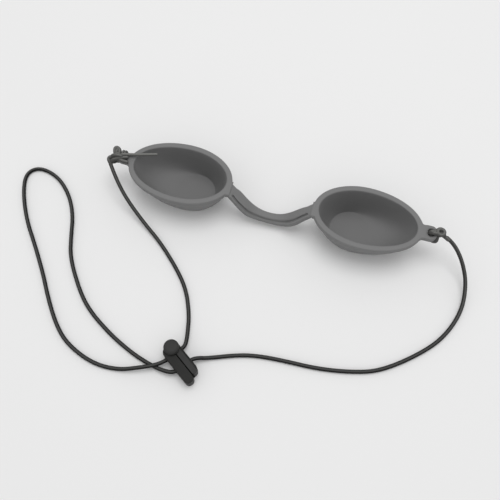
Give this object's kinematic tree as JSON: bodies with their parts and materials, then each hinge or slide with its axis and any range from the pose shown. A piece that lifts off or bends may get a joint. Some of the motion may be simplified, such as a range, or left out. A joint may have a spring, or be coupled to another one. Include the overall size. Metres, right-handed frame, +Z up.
{
  "type": "tanning goggles",
  "caption": "Soft opaque eye-cup goggles for sunbeds, with a flexible nose strap and an elastic head cord gathered by a sprung cord lock.",
  "frame": {"origin": "on the table under the middle of the goggles, halfway between the cups, with the cord, its knots and its lock left out of the measure", "axes": "+X from ear to ear toward the right-hand cup of the picture, +Y away from the brow side, +Z up from the table, out of the open eye side of the cups"},
  "size_m": [0.197, 0.0983, 0.0172],
  "materials": {
    "soft_moulding": "soft matte grey",
    "elastic_cord": "smooth dark elastic",
    "lock_plastic": "matte dark grey",
    "spring_steel": "plain wire"
  },
  "bodies": {
    "bridge": {"nose_bridge": "soft_moulding", "left_cord_strand": "elastic_cord", "head_loop_cord": "elastic_cord", "right_cord_strand": "elastic_cord", "lock_body": "lock_plastic", "lock_spring": "spring_steel"},
    "left_cup": {"left_eye_cup": "soft_moulding", "left_cord_knot": "elastic_cord"},
    "right_cup": {"right_eye_cup": "soft_moulding", "right_cord_knot": "elastic_cord"},
    "slider": {"lock_slider": "lock_plastic"}
  },
  "joints": [
    {"name": "left_cup_flex", "type": "hinge", "parent": "bridge", "child": "left_cup", "pos_m": [-0.0171, 0, 0.0131], "axis": [0, 1, 0], "range_deg": [0, 20], "stiffness_Nm_per_rad": 0.02, "springref_deg": -5.73},
    {"name": "right_cup_flex", "type": "hinge", "parent": "bridge", "child": "right_cup", "pos_m": [0.0171, 0, 0.0131], "axis": [0, -1, 0], "range_deg": [0, 20], "stiffness_Nm_per_rad": 0.02, "springref_deg": -5.73},
    {"name": "slider_press", "type": "slide", "parent": "bridge", "child": "slider", "axis": [0.8271, -0.5621, 0], "range_m": [0, 0.0014], "stiffness_N_per_m": 700, "springref_m": -0.001, "deforming": ["lock_spring"]}
  ]
}
